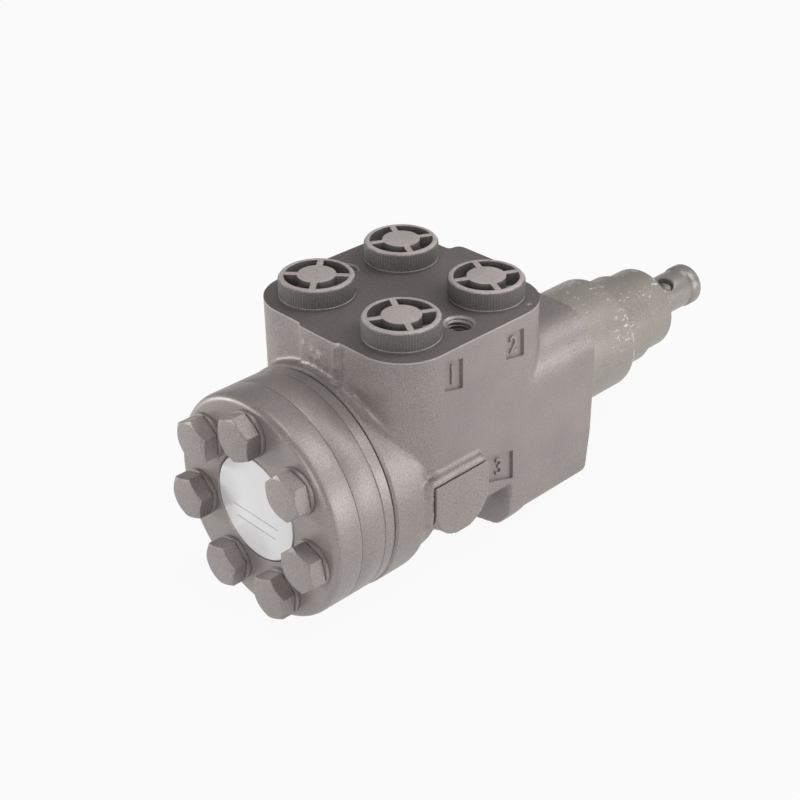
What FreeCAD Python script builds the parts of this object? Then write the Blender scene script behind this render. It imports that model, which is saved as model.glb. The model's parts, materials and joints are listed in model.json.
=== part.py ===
import FreeCAD, Part
import math
import os
from FreeCAD import Vector as V

# Orbital steering unit with a load-sensing housing and a stepped input neck.
# Millimetres. +Y runs along the shaft axis from the end cover to the input end,
# +Z is up through the port face, +X is the side with the blank boss.
# Stations are measured from the centre of the four ports. The finished pieces are
# moved so that the origin is the centre of the mounting face, on the shaft axis.

# Stations along the shaft axis
cover_face_y = -74.0
cover_seam_y = -61.9
plate_seam_y = -51.1
housing_front_y = -45.7
disc_back_y = -31.5
mount_face_y = 62.5
spigot_y = 56.5
neck_step_1_y = 112.3
neck_step_2_y = 130.5
neck_end_y = 147.0
input_end_y = 180.5

# Fits and edges that many pieces share
running = 0.05
clearance = 0.3
screwed = 0.02
overcut = 1.0
edge = 0.25
chamfer = 0.5
wide_chamfer = 0.9

# Outer radii
gear_set_r = 44.0
disc_r = 44.4
spigot_r = 24.4
neck_r_1 = 24.8
neck_r_2 = 20.0
neck_r_3 = 18.1
input_r = 8.8
input_collar_r = 9.4

# Cast block with its two ribs
half_width = 42.3
port_face_z = 59.3
block_floor_z = -4.0
block_front_y = -40.8
block_back_y = 40.2
block_corner_r = 18.5
rib_floor_z = 20.0
back_rib_half = 14.8
back_rib_y = 45.4
back_rib_corner_r = 3.0
front_rib_x = (-9.3, 10.4)
front_rib_y = -42.3
front_rib_root_y = -30.0
front_rib_corner_r = 1.2

# Square end, belly and front disc of the casting
tail_top_z = 42.2
tail_corner_r = 17.0
tail_front_y = 3.5
tail_front_r = 6.0
tail_floor_z = -40.0
tail_side_z = -8.0
tail_low_z = -28.2
tail_low_r = 6.0
tail_draft = 1.4
tail_bevel = 15.7
belly_r = 41.3
belly_y = (-34.0, 20.0)
belly_top_z = 30.0
belly_floor_z = -33.3
belly_corner_r = 28.0
disc_blend = ((1.6, 0.5), (5.0, 2.8), (8.0, 3.6))

# Blank boss: height above the side wall, then its lower step
boss_front_y = -27.6
boss_top_z = 8.2
boss_width = 26.8
boss_height = 24.0
boss_rise = 3.7
boss_edge = 0.7
boss_step = 2.4
boss_step_low = 0.5
boss_step_rise = 1.6
boss_corner_r = (1.0, 2.0)
boss_root_x = 25.0

# Ports and their plugs
port_x = 22.4
port_y = (-21.6, 21.4)
port_r = 10.5
port_depth = 15.0
plug_r = 14.35
plug_height = 8.3
plug_rim_r = 12.1
plug_rim_edge = 0.8
plug_disc_r = 7.3
plug_well = 5.0
plug_spoke = 2.4
plug_stub = 9.0
plug_hollow_r = 7.4
plug_floor = 1.2
plug_turns = {"p": 41.0, "t": 63.0, "l": 64.0, "r": 62.0}

# Threaded holes, given by the wall left for the thread
bracket_x = 30.5
bracket_y = -0.9
m10_r = 4.25
m10_depth = 20.0
mount_pcd = 82.5
mount_depth = 18.0

# Seven cover screws
screw_count = 7
screw_circle_r = 32.13
screw_r = 5.0
screw_hole_r = 5.3
screw_end_y = -33.0
head_flats = 16.0
head_height = 6.4
head_chamfer = 1.0
head_seat_chamfer = 0.35
washer_r = 9.0
washer_t = 1.6
washer_chamfer = 0.4
head_turns = (26.0, 28.0, 17.0, 16.0, 22.0, 42.0, 43.0)

# Gear set: seven fixed lobes, six turning ones
lobe_circle_r = 28.0
lobe_r = 7.0
offset_e = 2.6
mesh_gap = 0.12
pocket_r = 26.6
plate_bore_r = 12.0
channel_circle_r = 23.6
channel_r = 2.1
channel_end_y = -37.0
channel_row_y = -39.1
channel_inner_r = 15.0
rotor_steps = 14

# Seals between the plates
seal_depth = 1.6
seal_half = 1.0
seal_bulge = 0.5
seal_groove_half = 1.2
seal_wall = 1.5
seal_r = screw_circle_r + screw_hole_r + seal_groove_half + seal_wall

# Cover and name plate
cover_round_r = 3.0
badge_r = 20.6
badge_t = 0.6
badge_gap = 0.8

# Rotary valve
bore_r = 19.05
bore_end_y = 44.3
sleeve_r = 19.0
sleeve_front_y = -45.2
sleeve_back_y = 40.2
sleeve_hole_r = 1.5
sleeve_port_r = 1.6
spool_r = 14.5
spool_bore_r = 10.5
spool_web_y = 38.5
spool_end_y = 56.0
lane_width = 2.0
lane_depth = 1.2
lanes = ((-41.0, -12.0, 0.0), (-30.0, 15.0, 30.0))
hub_r = 13.0
pin_y = 22.0
pin_r = 4.0
swing_deg = 8.5
gallery = {"r": -28.0, "p": -14.0, "l": 13.0, "t": 25.0}
gallery_r = 21.5
gallery_half = 2.5
drilling_r = 5.0
drilling_foot = (12.0, 14.0)

# Centring leaves in their slot and the ring over them
leaf_t = 0.55
leaf_count = 6
leaf_y = (29.8, 36.2)
leaf_half = leaf_t * leaf_count / 2
keeper_r = 18.0

# Thrust bearing and shaft seals
thrust_r = (15.2, 18.7)
race_t = 1.0
needle_r = 1.0
needle_count = 12
needle_short = 0.6
cage_half = 0.6
shaft_seal_r = 17.0
shaft_seal_y = (48.0, 52.0)
shaft_seal_lip = 1.4
dust_seal_r = 18.5
dust_seal_y = 53.0
dust_lip = 1.6
dust_lip_y = (1.2, 0.8)
seal_edge = 0.6

# Splines
teeth = 12
tooth_root_r = 7.6
tooth_tip_r = 9.2
tooth_half_deg = (6.0, 3.2)
spline_gap = 0.1

# Cardan shaft
head_mid_y = -56.5
head_half = (3.4, 4.2)
head_crown = (0.4, 1.2, 2.0)
cardan_tail = 7.0
cardan_tail_r = 9.0
cardan_shank_r = 6.5
cardan_root_r = 5.5
cardan_neck = (9.0, 11.0)
cardan_blend = 8.0
cardan_slot = 0.45
spacer_t = 1.6
spacer_bore_r = 2.0

# Check and suction valves, between the screw holes
valve_circle_r = 33.4
check_at_deg = 90.0 + 180.0 / screw_count
suction_at_deg = {"r": 90.0 - 180.0 / screw_count, "l": 90.0 - 540.0 / screw_count}
valve_bore_r = 3.6
valve_hole_r = 1.8
valve_seat_y = -34.0
valve_hole_y = -24.0
valve_leg_z = 40.0
valve_ball_r = 3.2
valve_ball_y = -34.95
bush_r = 4.2
bush_depth = 5.0
bush_slot = 1.2
stop_y = -41.2
stop_bore_r = 0.8
suction_foot_r = 20.0
suction_foot_deg = 25.0

# Relief valve in the back rib
relief_z = 50.0
relief_r = 6.5
relief_start_y = 8.0
relief_hole_r = 3.0
relief_seat_y = 14.0
relief_seat_r = (2.0, 2.8)
relief_seat_cone = 0.8
poppet_y = (11.4, 13.4, 14.3, 14.6, 16.4, 21.0)
poppet_r = (1.9, 2.75, 5.0, 2.6)
coil_y = 17.2
coil_height = 17.3
coil_turns = 6.0
coil_r = 3.9
wire_r = 0.7
relief_screw_y = (35.2, 39.4)
relief_screw_key = (4.0, 2.4)
relief_plug_y = 40.0
relief_plug_key = (6.0, 3.0)
screw_end_chamfer = 0.6

# Neck, its bearing and its seal
face_gap = 0.1
register_relief = 1.0
neck_bore_r = 17.6
neck_edge = 0.8
neck_step_edge = 0.7
neck_fillet = 0.6
neck_taper = (1.6, 0.5, 2.4)
neck_end_edge = 1.0
neck_mouth_gap = 0.4
neck_lip_y = 144.5
neck_seal_r = 12.0
neck_seal_y = (136.5, 143.5)
neck_seal_lips = ((3.0, 9.2), (5.0, 9.4))
neck_seal_throat_r = (10.4, 9.6)
neck_seal_lip_y = 3.6
race_y = (118.0, 128.0)
race_r = (8.5, 17.5)
race_shoulder_r = (11.3, 14.7)
race_stop = 3.0
race_stop_r = 15.5
race_groove_gap = 0.06
ball_circle_r = 13.0
ball_r = 2.38
ball_count = 10
ball_cage_r = (12.2, 13.8)
ball_cage_half = 3.0
ball_cage_gap = 0.04
circlip_y = (114.0, 115.2)
circlip_r = (15.4, 18.2)
circlip_groove_r = 18.3
circlip_gap = 3.0
circlip_eye = (1.5, 3.2, 15.2)
circlip_eye_hole_r = 0.7

# Input shaft and the hollow end
input_start_y = 44.0
input_spline_y = (44.6, 58.0)
input_taper_y = (60.0, 66.0)
input_journal_r = 10.2
input_seal_r = 8.3
input_nib_r = 7.0
input_relief = (1.0, 1.6)
sleeve_y = 147.3
nose_y = 153.4
nose_r = 5.6
hollow_y = 154.0
hollow_r = 6.0
cross_hole_y = 160.2
cross_hole_r = 3.9
cross_hole_deg = 66.0
collar_length = 5.9
collar_groove = (0.8, 1.6, 2.2)
collar_groove_r = (0.1, 0.25)
collar_edge = (0.4, 1.4)

screw_angles = [90.0 + 360.0 / screw_count * i for i in range(screw_count)]
pocket_angles = [a + 180.0 / screw_count for a in screw_angles]


def at(radius, angle, y=0.0):
    """Point at a radius about the shaft axis, angle from +X towards +Z."""
    a = math.radians(angle)
    return V(radius * math.cos(a), y, radius * math.sin(a))


def turned(points, x=0.0, z=0.0):
    """Solid of revolution about a line along Y, from (y, radius) corners."""
    ring = [V(x + r, y, z) for y, r in points]
    face = Part.Face(Part.makePolygon(ring + ring[:1]))
    return face.revolve(V(x, 0, z), V(0, 1, 0), 360)


def collar(y0, y1, inner, outer, x=0.0, z=0.0):
    return turned([(y0, inner), (y1, inner), (y1, outer), (y0, outer)], x, z)


def rod(radius, y0, y1, x=0.0, z=0.0):
    return Part.makeCylinder(radius, y1 - y0, V(x, y0, z), V(0, 1, 0))


def drill(radius, start, end):
    way = end - start
    return Part.makeCylinder(radius, way.Length, start, way)


def joined(shapes):
    first, rest = shapes[0], shapes[1:]
    return first.fuse(rest).removeSplitter() if rest else first


def rounded_face(corners, place):
    """Closed outline through (u, v, radius) corners, put in space by place(u, v)."""
    ends = []
    count = len(corners)
    for i in range(count):
        before = corners[i - 1]
        here = corners[i]
        after = corners[(i + 1) % count]
        b = V(here[0], here[1], 0)
        u = (V(before[0], before[1], 0) - b).normalize()
        w = (V(after[0], after[1], 0) - b).normalize()
        half = u.getAngle(w) / 2
        reach = here[2] / math.tan(half)
        middle = b + (u + w).normalize() * (here[2] / math.sin(half) - here[2])
        ends.append((b + u * reach, middle, b + w * reach, here[2]))
    edges = []
    for i in range(count):
        start, middle, end, radius = ends[i]
        if radius > 0:
            arc = Part.Arc(place(start.x, start.y), place(middle.x, middle.y), place(end.x, end.y))
            edges.append(arc.toShape())
        follow = ends[(i + 1) % count][0]
        if end.distanceToPoint(follow) > 1e-5:
            edges.append(Part.LineSegment(place(end.x, end.y), place(follow.x, follow.y)).toShape())
    return Part.Face(Part.Wire(edges))


def across_shaft(corners, y0, y1):
    """Prism with an (x, z) outline between two stations of the shaft axis."""
    return rounded_face(corners, lambda u, v: V(u, y0, v)).extrude(V(0, y1 - y0, 0))


def upright(corners, z0, z1):
    """Prism with an (x, y) outline between two heights."""
    return rounded_face(corners, lambda u, v: V(u, v, z0)).extrude(V(0, 0, z1 - z0))


def edges_at(shape, test):
    return [e for e in shape.Edges if test(e.BoundBox)]


def spline(y0, y1, grow=0.0):
    """Toothed bar across the shaft axis; grow widens it all round."""
    points = []
    for i in range(teeth):
        mid = 360.0 / teeth * i
        root = tooth_root_r + grow
        tip = tooth_tip_r + grow
        wide_root = tooth_half_deg[0] + math.degrees(grow / tooth_root_r)
        wide_tip = tooth_half_deg[1] + math.degrees(grow / tooth_tip_r)
        points += [at(root, mid - wide_root, y0), at(tip, mid - wide_tip, y0)]
        points += [at(tip, mid + wide_tip, y0), at(root, mid + wide_root, y0)]
    return Part.Face(Part.makePolygon(points + points[:1])).extrude(V(0, y1 - y0, 0))


def blind_hole(radius, mouth, way, depth):
    """Drilled hole with a cone end."""
    hole = Part.makeCylinder(radius, depth, mouth, way)
    tip = Part.makeCone(radius, 0.0, radius * 0.6, mouth + way * depth, way)
    return hole.fuse(tip)


# Cast housing

def port_block():
    w = half_width
    r = block_corner_r
    outline = [(-w, block_front_y, r), (w, block_front_y, r), (w, block_back_y, r), (-w, block_back_y, r)]
    rear = [(-back_rib_half, 0, 0), (back_rib_half, 0, 0), (back_rib_half, back_rib_y, back_rib_corner_r),
            (-back_rib_half, back_rib_y, back_rib_corner_r)]
    x0, x1 = front_rib_x
    front = [(x0, front_rib_y, front_rib_corner_r), (x1, front_rib_y, front_rib_corner_r),
             (x1, front_rib_root_y, 0), (x0, front_rib_root_y, 0)]
    block = joined([upright(outline, block_floor_z, port_face_z), upright(rear, rib_floor_z, port_face_z),
                    upright(front, rib_floor_z, port_face_z)])
    rim = edges_at(block, lambda b: b.ZMin > port_face_z - 1e-3)
    return block.makeChamfer(chamfer, rim).Solids[0]


def tail_block():
    """Square end with the mounting face; its lower half is drafted and cut back."""
    w = half_width
    draft = w - tail_draft
    flat = w - tail_bevel
    outline = [(-w, tail_top_z, tail_corner_r), (w, tail_top_z, tail_corner_r), (w, tail_side_z, 0),
               (draft, tail_low_z, tail_low_r), (flat, tail_floor_z, tail_low_r),
               (-flat, tail_floor_z, tail_low_r), (-draft, tail_low_z, tail_low_r), (-w, tail_side_z, 0)]
    block = across_shaft(outline, tail_front_y, mount_face_y)
    low_front = edges_at(block, lambda b: b.YMax < tail_front_y + 1e-3 and b.ZMax < tail_side_z + 1e-3)
    return block.makeFillet(tail_front_r, low_front)


def belly():
    """Round underside between the front disc and the square tail, flat-sided at the back."""
    w = half_width
    outline = [(-w, belly_top_z, 0), (w, belly_top_z, 0), (w, belly_floor_z, belly_corner_r),
               (-w, belly_floor_z, belly_corner_r)]
    return rod(belly_r, *belly_y).fuse(across_shaft(outline, block_front_y + block_corner_r, belly_y[1]))


def front_disc():
    points = [(housing_front_y, 0.0), (housing_front_y, disc_r - wide_chamfer),
              (housing_front_y + wide_chamfer, disc_r), (disc_back_y, disc_r)]
    points += [(disc_back_y + back, disc_r - drop) for back, drop in disc_blend]
    return turned(points + [(points[-1][0], 0.0)])


def side_boss():
    """Unmachined D-shaped boss with a lower step along its flat and front edges."""
    solids = []
    for step, low, rise, rim in ((boss_step, boss_step_low, boss_step_rise, wide_chamfer),
                                 (0.0, 0.0, boss_rise, boss_edge)):
        x_face = half_width + rise
        top = boss_top_z + step
        front = boss_front_y - step
        back = boss_front_y + boss_width + low
        floor = boss_top_z - boss_height - low
        r = (boss_width - edge) / 2
        outline = [(front, top, boss_corner_r[0]), (back, top, boss_corner_r[1]),
                   (back, floor, r), (front, floor, r)]
        face = rounded_face(outline, lambda u, v: V(boss_root_x, u, v))
        solid = face.extrude(V(x_face - boss_root_x, 0, 0))
        solids.append(solid.makeChamfer(rim, edges_at(solid, lambda b: b.XMin > x_face - 1e-3)))
    return solids


def shaft_bores():
    cuts = [rod(bore_r, housing_front_y - overcut, bore_end_y)]
    cuts.append(rod(hub_r + running, bore_end_y - overcut, mount_face_y))
    cuts.append(rod(shaft_seal_r, *shaft_seal_y))
    cuts.append(rod(dust_seal_r, dust_seal_y, spigot_y + overcut))
    cuts.append(rod(spigot_r + running, spigot_y, mount_face_y))
    cuts.append(rod(neck_r_1 + running, mount_face_y - register_relief, mount_face_y + overcut))
    for y in gallery.values():
        cuts.append(rod(gallery_r, y - gallery_half, y + gallery_half))
    return cuts


def port_holes():
    """Ports with their drillings to the valve, and the tapped holes of both faces."""
    cuts = []
    front, back = port_y
    for name, sx, y in (("p", -1, front), ("t", -1, back), ("r", 1, front), ("l", 1, back)):
        mouth = V(sx * port_x, y, port_face_z)
        start = mouth - V(0, 0, port_depth + 2 * overcut)
        cuts.append(blind_hole(port_r, mouth, V(0, 0, -1), port_depth))
        cuts.append(drill(drilling_r, start, V(sx * drilling_foot[0], gallery[name], drilling_foot[1])))
    out = mount_pcd / 2 * math.sqrt(0.5)
    for sx in (-1, 1):
        cuts.append(blind_hole(m10_r, V(sx * bracket_x, bracket_y, port_face_z), V(0, 0, -1), m10_depth))
        for sz in (-1, 1):
            cuts.append(blind_hole(m10_r, V(sx * out, mount_face_y, sz * out), V(0, -1, 0), mount_depth))
    return cuts


def front_face_holes():
    """Tapped screw holes, gear set channels and the first seal groove."""
    cuts = []
    front = housing_front_y - overcut
    for a in screw_angles:
        mouth = at(screw_circle_r, a, housing_front_y)
        cuts.append(blind_hole(screw_r, mouth, V(0, 1, 0), screw_end_y - housing_front_y + overcut))
    for a in pocket_angles:
        cuts.append(drill(channel_r, at(channel_circle_r, a, front), at(channel_circle_r, a, channel_end_y)))
        cuts.append(drill(channel_r, at(channel_inner_r, a, channel_row_y),
                          at(channel_circle_r + chamfer, a, channel_row_y)))
    cuts.append(seal_groove(front, housing_front_y + seal_depth))
    return cuts


def seal_groove(y0, y1):
    return collar(y0, y1, seal_r - seal_groove_half, seal_r + seal_groove_half)


check_at = at(valve_circle_r, check_at_deg)
suction_at = {name: at(valve_circle_r, angle) for name, angle in suction_at_deg.items()}


def valve_holes():
    """Check, suction and relief valve bores with the cross drillings they need."""
    cuts = []
    front = housing_front_y - overcut
    for spot in [check_at] + list(suction_at.values()):
        cuts.append(rod(valve_bore_r, front, valve_seat_y, spot.x, spot.z))
        cuts.append(Part.makeCone(valve_bore_r, valve_hole_r, valve_bore_r - valve_hole_r,
                                  V(spot.x, valve_seat_y, spot.z), V(0, 1, 0)))
        cuts.append(rod(valve_hole_r, valve_seat_y + overcut, valve_hole_y, spot.x, spot.z))
    cuts.append(rod(bush_r, front, housing_front_y + bush_depth, check_at.x, check_at.z))
    legs = ((check_at, V(-port_x, port_y[0], valve_leg_z)),
            (suction_at["r"], V(port_x, port_y[0], valve_leg_z)),
            (suction_at["l"], at(suction_foot_r, suction_foot_deg, gallery["r"])))
    for spot, foot in legs:
        cuts.append(drill(valve_hole_r, V(spot.x, valve_hole_y - overcut, spot.z), foot))
    cuts.append(rod(relief_r, relief_start_y, back_rib_y + overcut, 0.0, relief_z))
    cuts.append(rod(relief_hole_r, port_y[0], relief_start_y + overcut, 0.0, relief_z))
    for y in port_y:
        cuts.append(drill(relief_hole_r, V(0.0, y, relief_z), V(-port_x, y, relief_z)))
    return cuts


def housing():
    body = port_block()
    for lump in [tail_block(), belly(), front_disc()] + side_boss():
        body = body.fuse(lump)
    body = body.removeSplitter()
    for tool in shaft_bores() + port_holes() + front_face_holes() + valve_holes():
        body = body.cut(tool)
    return body


# Gear set and cover

def screw_holes(y0, y1):
    return [drill(screw_hole_r, at(screw_circle_r, a, y0), at(screw_circle_r, a, y1)) for a in screw_angles]


def distributor_plate():
    plate = turned([(plate_seam_y, plate_bore_r), (housing_front_y, plate_bore_r),
                    (housing_front_y, gear_set_r - wide_chamfer),
                    (housing_front_y - wide_chamfer, gear_set_r),
                    (plate_seam_y + edge, gear_set_r), (plate_seam_y, gear_set_r - edge)])
    cuts = screw_holes(plate_seam_y - overcut, housing_front_y + overcut)
    for a in pocket_angles:
        cuts.append(drill(channel_r, at(channel_circle_r, a, plate_seam_y - overcut),
                          at(channel_circle_r, a, housing_front_y + overcut)))
    cuts.append(seal_groove(plate_seam_y - overcut, plate_seam_y + seal_depth))
    return plate.cut(cuts)


def gear_ring():
    ring = turned([(cover_seam_y, pocket_r), (plate_seam_y, pocket_r), (plate_seam_y, gear_set_r - edge),
                   (plate_seam_y - edge, gear_set_r), (cover_seam_y + edge, gear_set_r),
                   (cover_seam_y, gear_set_r - edge)])
    lobes = [drill(lobe_r, at(lobe_circle_r, a, cover_seam_y), at(lobe_circle_r, a, plate_seam_y))
             for a in screw_angles]
    return ring.fuse(lobes).removeSplitter().cut(screw_holes(cover_seam_y - overcut, plate_seam_y + overcut))


def rotor_outline(y):
    """Conjugate of the fixed lobes, with one lobe less, centred on the shaft axis."""
    points = []
    count = (screw_count - 1) * rotor_steps
    for i in range(count):
        t = 2 * math.pi * i / count
        track = complex(math.cos(t), math.sin(t)) * lobe_circle_r
        wobble = complex(math.cos(screw_count * t), math.sin(screw_count * t)) * offset_e
        inward = track - screw_count * wobble
        p = track - wobble - inward / abs(inward) * (lobe_r + mesh_gap)
        q = p * complex(0.0, 1.0)
        points.append(V(q.real, y, q.imag))
    curve = Part.BSplineCurve()
    curve.interpolate(Points=points, PeriodicFlag=True)
    return Part.Face(Part.Wire(curve.toShape()))


def gear_rotor():
    y0 = cover_seam_y + running
    y1 = plate_seam_y - running
    rotor = rotor_outline(y0).extrude(V(0, y1 - y0, 0))
    rotor = rotor.cut(spline(y0 - overcut, y1 + overcut, clearance))
    rotor.translate(V(0, 0, offset_e))
    return rotor


def end_cover():
    rim = []
    for a in range(0, 91, 15):
        back = cover_round_r * (1 - math.sin(math.radians(a)))
        drop = cover_round_r * (1 - math.cos(math.radians(a)))
        rim.append((cover_face_y + back, gear_set_r - drop))
    seam = [(cover_seam_y, 0.0), (cover_seam_y, gear_set_r - edge), (cover_seam_y - edge, gear_set_r)]
    cover = turned(seam + rim + [(cover_face_y, 0.0)])
    cuts = screw_holes(cover_face_y - overcut, cover_seam_y + overcut)
    cuts.append(rod(badge_r + badge_gap, cover_face_y - overcut, cover_face_y + badge_t))
    cuts.append(seal_groove(cover_seam_y - seal_depth, cover_seam_y + overcut))
    return cover.cut(cuts)


def hex_head(y_seat, turn, spot):
    """Hexagon head with its outer corners turned off."""
    corner_r = head_flats / math.sqrt(3.0)
    y_top = y_seat - head_height
    points = [at(corner_r, 60.0 * i + turn, y_top) for i in range(6)]
    prism = Part.Face(Part.makePolygon(points + points[:1])).extrude(V(0, head_height, 0))
    dome = turned([(y_seat, 0.0), (y_seat, corner_r - edge), (y_seat - head_seat_chamfer, corner_r + edge),
                   (y_top + head_chamfer, corner_r + edge), (y_top, head_flats / 2 - edge), (y_top, 0.0)])
    head = prism.common(dome)
    head.translate(V(spot.x, 0, spot.z))
    return head


def cover_screws():
    seat = cover_face_y - washer_t
    shank_r = screw_r - screwed
    screws = []
    for a, turn in zip(screw_angles, head_turns):
        spot = at(screw_circle_r, a)
        shank = turned([(seat - chamfer, 0.0), (seat - chamfer, shank_r),
                        (screw_end_y - wide_chamfer, shank_r), (screw_end_y, shank_r - wide_chamfer),
                        (screw_end_y, 0.0)], spot.x, spot.z)
        screws.append(hex_head(seat, turn, spot).fuse(shank))
    return screws


def cover_washers():
    washers = []
    for a in screw_angles:
        spot = at(screw_circle_r, a)
        y0 = cover_face_y - washer_t
        washers.append(turned([(y0, screw_hole_r), (cover_face_y, screw_hole_r), (cover_face_y, washer_r),
                               (y0 + washer_chamfer, washer_r), (y0, washer_r - washer_chamfer)],
                              spot.x, spot.z))
    return washers


def name_plate():
    return rod(badge_r, cover_face_y, cover_face_y + badge_t)


def seal_rings():
    rings = []
    c = seal_bulge
    inner, outer = seal_r - seal_half, seal_r + seal_half
    for y0 in (housing_front_y, plate_seam_y, cover_seam_y - seal_depth):
        y1 = y0 + seal_depth
        rings.append(turned([(y0, seal_r - c), (y0 + c, inner), (y1 - c, inner), (y1, seal_r - c),
                             (y1, seal_r + c), (y1 - c, outer), (y0 + c, outer), (y0, seal_r + c)]))
    return rings


# Rotary valve

def hole_row(y, count, radius, inner, outer, first=0.0):
    turns = [first + 360.0 / count * i for i in range(count)]
    return [drill(radius, at(inner, a, y), at(outer, a, y)) for a in turns]


def leaf_slot(half, gap):
    """Box that cuts the slot of the leaves right across."""
    y0 = leaf_y[0] - gap
    return Part.makeBox(4 * sleeve_r, leaf_y[1] + gap - y0, 2 * half, V(-2 * sleeve_r, y0, -half))


def valve_sleeve():
    inner, outer = spool_bore_r, sleeve_r + overcut
    sleeve = collar(sleeve_front_y, sleeve_back_y, spool_r + running, sleeve_r)
    cuts = hole_row(channel_row_y, 2 * screw_count, sleeve_hole_r, inner, outer, pocket_angles[0])
    for i, name in enumerate(("r", "p", "l", "t")):
        cuts += hole_row(gallery[name], 6, sleeve_port_r, inner, outer, 15.0 * i)
    cuts.append(drill(pin_r, V(0, pin_y, -outer), V(0, pin_y, outer)))
    cuts.append(collar(leaf_y[0] - clearance, leaf_y[1] + clearance, keeper_r, outer))
    cuts.append(leaf_slot(leaf_half, clearance))
    return sleeve.cut(cuts)


def spool():
    front = sleeve_front_y + clearance
    shoulder = bore_end_y - 4 * running
    swing = spool_r * math.sin(math.radians(swing_deg))
    body = turned([(front, spool_bore_r), (spool_web_y, spool_bore_r), (spool_web_y, 0.0),
                   (spool_end_y, 0.0), (spool_end_y, hub_r - seal_edge), (spool_end_y - seal_edge, hub_r),
                   (shoulder, hub_r), (shoulder - seal_edge, spool_r), (front, spool_r)])
    cuts = [spline(input_spline_y[0] - 2 * overcut, spool_end_y + overcut, spline_gap)]
    cuts.append(drill(pin_r + swing, V(0, pin_y, -sleeve_r), V(0, pin_y, sleeve_r)))
    cuts.append(leaf_slot(leaf_half + swing, clearance + spline_gap))
    for y0, y1, turn in lanes:
        for i in range(6):
            lane = Part.makeBox(2 * lane_width, y1 - y0, 1.5 * lane_width,
                                V(spool_r - lane_depth, y0, -0.75 * lane_width))
            lane.rotate(V(0, 0, 0), V(0, 1, 0), 60.0 * i + turn)
            cuts.append(lane)
    return body.cut(cuts)


def cross_pin():
    pin = Part.makeCylinder(pin_r, 2 * keeper_r, V(0, pin_y, -keeper_r), V(0, 0, 1))
    return pin.makeChamfer(chamfer, edges_at(pin, lambda b: b.ZLength < 0.01))


def centring_springs():
    """Pack of flat leaves that lies right across the valve."""
    half = keeper_r - clearance
    width = leaf_y[1] - leaf_y[0]
    return [Part.makeBox(2 * half, width, leaf_t, V(-half, leaf_y[0], leaf_t * i - leaf_half))
            for i in range(leaf_count)]


def spring_ring():
    gap = clearance - spline_gap
    return collar(leaf_y[0] - gap, leaf_y[1] + gap, keeper_r + screwed, sleeve_r - running)


def thrust_race_inner():
    return collar(sleeve_back_y, sleeve_back_y + race_t, *thrust_r)


def thrust_race_outer():
    return collar(bore_end_y - race_t, bore_end_y, *thrust_r)


def needle_set(radius, short):
    y = (sleeve_back_y + bore_end_y) / 2
    return hole_row(y, needle_count, radius, thrust_r[0] + short, thrust_r[1] - short)


def thrust_cage():
    y = (sleeve_back_y + bore_end_y) / 2
    cage = collar(y - cage_half, y + cage_half, *thrust_r)
    return cage.cut(needle_set(needle_r + screwed, needle_short - running))


def thrust_needles():
    return needle_set(needle_r, needle_short)


def shaft_seal():
    y0, y1 = shaft_seal_y
    c = seal_edge
    lip = hub_r + running
    r = shaft_seal_r
    return turned([(y0, lip + c), (y0 + shaft_seal_lip, lip), (y1 - shaft_seal_lip, lip), (y1, lip + c),
                   (y1, r - c), (y1 - c, r), (y0 + c, r), (y0, r - c)])


def dust_seal():
    lip = hub_r + running
    return turned([(dust_seal_y, lip + dust_lip), (dust_seal_y + dust_lip_y[0], lip + dust_lip),
                   (spigot_y - dust_lip_y[1], lip), (spigot_y, lip), (spigot_y, dust_seal_r),
                   (dust_seal_y, dust_seal_r)])


# Cardan drive

def cardan_shaft():
    """Crowned spline head and slotted end, leaning from the pin to the rotor's centre."""
    y0, y1 = head_mid_y - head_half[0], head_mid_y + head_half[1]
    end = pin_y + cardan_tail
    shank = turned([(end, 0.0), (end, cardan_tail_r - overcut), (end - overcut, cardan_tail_r),
                    (pin_y - cardan_neck[0], cardan_tail_r), (pin_y - cardan_neck[1], cardan_shank_r),
                    (head_mid_y + cardan_blend, cardan_shank_r), (y1 - head_crown[0] / 2, cardan_root_r),
                    (y1 - head_crown[0] / 2, 0.0)])
    low = tooth_tip_r - head_crown[0]
    crown = turned([(y0, 0.0), (y0, low), (head_mid_y - head_crown[1], tooth_tip_r),
                    (head_mid_y + head_crown[2], tooth_tip_r), (y1, low), (y1, 0.0)])
    shaft = shank.fuse(spline(y0, y1).common(crown))
    half = pin_r + cardan_slot
    reach = cardan_tail_r + overcut
    shaft = shaft.cut(Part.makeBox(2 * half, 2 * reach, 2 * reach, V(-half, pin_y - half, -reach)))
    shaft.rotate(V(0, pin_y, 0), V(1, 0, 0), -math.degrees(math.atan2(offset_e, pin_y - head_mid_y)))
    return shaft


def cardan_spacer():
    y0 = cover_seam_y + 2 * running
    spacer = collar(y0, y0 + spacer_t, spacer_bore_r, tooth_root_r)
    spacer.translate(V(0, 0, offset_e))
    return spacer


# Valves in the housing

def valve_ball(spot):
    return Part.makeSphere(valve_ball_r, V(spot.x, valve_ball_y, spot.z))


def check_bush():
    y0 = housing_front_y + clearance
    bush = collar(y0, housing_front_y + bush_depth, valve_hole_r, bush_r - screwed, check_at.x, check_at.z)
    slot = Part.makeBox(3 * bush_r, 2 * bush_slot, bush_slot,
                        V(check_at.x - 1.5 * bush_r, y0 - bush_slot, check_at.z - bush_slot / 2))
    return bush.cut(slot)


def suction_pins():
    return [collar(housing_front_y + clearance, stop_y, stop_bore_r, valve_bore_r - screwed, s.x, s.z)
            for s in suction_at.values()]


def relief_seat():
    y0, y1 = relief_start_y, relief_seat_y
    outer = relief_r - screwed
    return turned([(y0, relief_seat_r[0]), (y1 - relief_seat_cone, relief_seat_r[0]), (y1, relief_seat_r[1]),
                   (y1, outer), (y0, outer)], 0.0, relief_z)


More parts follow.
